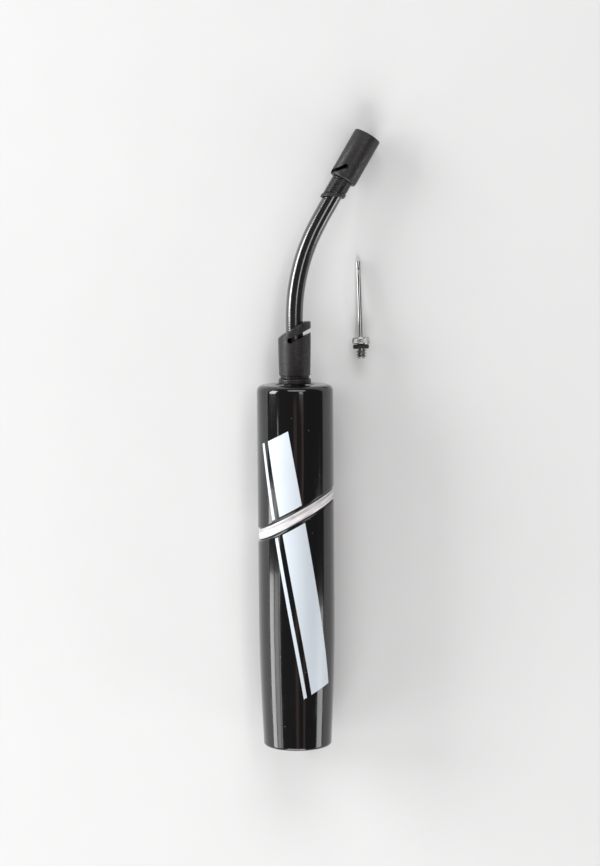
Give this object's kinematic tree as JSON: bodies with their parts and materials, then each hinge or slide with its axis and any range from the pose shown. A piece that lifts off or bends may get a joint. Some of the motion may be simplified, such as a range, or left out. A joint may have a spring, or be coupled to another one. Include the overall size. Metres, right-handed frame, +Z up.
{
  "type": "ball inflation pump",
  "caption": "Cylindrical hand pump with a sliding handle sleeve, a short swivelling hose with a needle connector, and a screw-in ball needle lying beside it.",
  "frame": {"origin": "centre of the handle's flat end face", "axes": "+Y along the pump's axis from the handle to the hose, +Z up with the pump lying on its side, +X to the side that the hose bends to"},
  "size_m": [0.06, 0.2981, 0.0366],
  "materials": {
    "shell_black": "polished moulded black",
    "inner_black": "plain moulded black",
    "ring_pale": "milky translucent",
    "rod_white": "natural moulded",
    "collar_grey": "fine matte texture",
    "hose_black": "satin, finely ribbed",
    "seal_rubber": "dull",
    "needle_steel": "nickel plated",
    "spring_steel": "plain",
    "nipple_brass": "machined"
  },
  "bodies": {
    "barrel": {"front_shell": "shell_black", "seam_ring": "ring_pale", "barrel_tube": "inner_black", "rod_guide": "inner_black", "outlet_head": "inner_black", "barrel_oring": "seal_rubber", "valve_retainer": "rod_white", "spigot_oring": "seal_rubber", "valve_spring": "spring_steel"},
    "check_valve": {"check_ball": "spring_steel"},
    "handle": {"handle_sleeve": "shell_black", "handle_end_cap": "shell_black", "piston_rod": "rod_white", "rod_pin": "spring_steel", "rod_bumper": "seal_rubber", "piston_head": "inner_black"},
    "intake_ring": {"piston_ring": "seal_rubber"},
    "hose_assembly": {"collar_base_ring": "collar_grey", "hose_collar": "collar_grey", "outlet_washer": "seal_rubber", "hose_nipple": "nipple_brass", "hose": "hose_black", "connector_sleeve": "collar_grey", "needle_socket": "inner_black", "socket_washer": "seal_rubber", "connector_boot": "hose_black", "hose_ferrule": "collar_grey"},
    "needle": {"needle_hub": "needle_steel", "needle_gasket": "seal_rubber", "needle_tube": "needle_steel"}
  },
  "joints": [
    {"name": "handle_stroke", "type": "slide", "parent": "barrel", "child": "handle", "axis": [0, -1, 0], "range_m": [0, 0.09]},
    {"name": "intake_ring_float", "type": "slide", "parent": "handle", "child": "intake_ring", "axis": [0, 1, 0], "range_m": [0, 0.0008]},
    {"name": "check_ball_lift", "type": "slide", "parent": "barrel", "child": "check_valve", "axis": [0, 1, 0], "range_m": [0, 0.0012], "stiffness_N_per_m": 50, "springref_m": -0.002, "deforming": ["valve_spring"]},
    {"name": "hose_swivel", "type": "hinge", "parent": "barrel", "child": "hose_assembly", "pos_m": [0, 0.184, 0], "axis": [0, 1, 0], "range_deg": [-180, 0]},
    {"name": "needle_lift", "type": "slide", "parent": "barrel", "child": "needle", "axis": [0, 0, 1], "range_m": [0, 0.05]}
  ]
}
